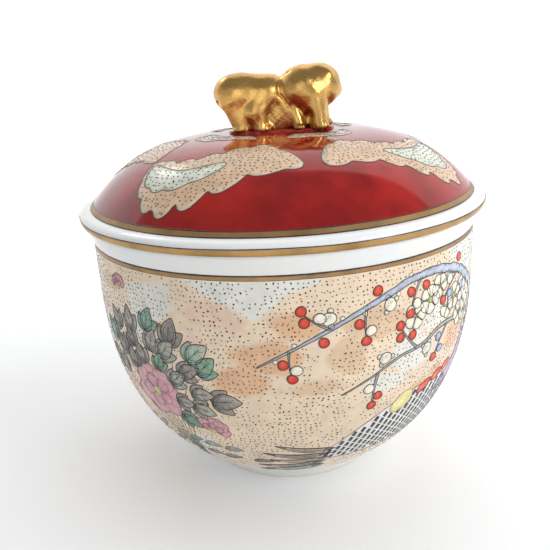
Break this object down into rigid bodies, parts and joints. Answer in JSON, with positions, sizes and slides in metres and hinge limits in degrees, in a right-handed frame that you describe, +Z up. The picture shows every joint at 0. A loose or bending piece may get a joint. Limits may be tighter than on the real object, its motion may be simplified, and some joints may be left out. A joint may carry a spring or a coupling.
{
  "type": "covered rice bowl",
  "caption": "Deep round porcelain bowl on a low foot ring with a domed, overhanging lift-off lid, locating collar and a gilt animal knob.",
  "frame": {"origin": "centre of the foot ring's resting plane", "axes": "+Z up along the bowl's axis; +X along the knob from its rump to its head; -Y is the side the painted spray and branch face, between them"},
  "size_m": [0.1502, 0.1502, 0.149],
  "materials": {
    "porcelain_bowl": "clear gloss glaze, unglazed foot ring and rim seat",
    "enamel_painted_ground": "soft gloss overglaze enamel, stippled, with painted flowers, branches and feathers",
    "gilding_bowl_band": "worn satin gilding between fine dark liners",
    "porcelain_lid": "clear gloss glaze, unglazed seat and collar foot",
    "enamel_red_ground": "gloss iron-red enamel with stippled tan clouds",
    "gilding_lid_band": "worn satin gilding between fine dark liners",
    "gilding_lid_edge": "burnished gilding, rubbed thin in places",
    "gilded_knob": "burnished gilding over glazed porcelain"
  },
  "bodies": {
    "bowl": {"bowl": "porcelain_bowl", "bowl_painted_ground": "enamel_painted_ground", "bowl_gilt_band": "gilding_bowl_band"},
    "lid": {"lid": "porcelain_lid", "lid_red_ground": "enamel_red_ground", "lid_gilt_band": "gilding_lid_band", "lid_edge_gilding": "gilding_lid_edge", "finial": "gilded_knob"}
  },
  "joints": [
    {"name": "lid_lift", "type": "slide", "parent": "bowl", "child": "lid", "axis": [0, 0, 1], "range_m": [0, 0.12]}
  ]
}
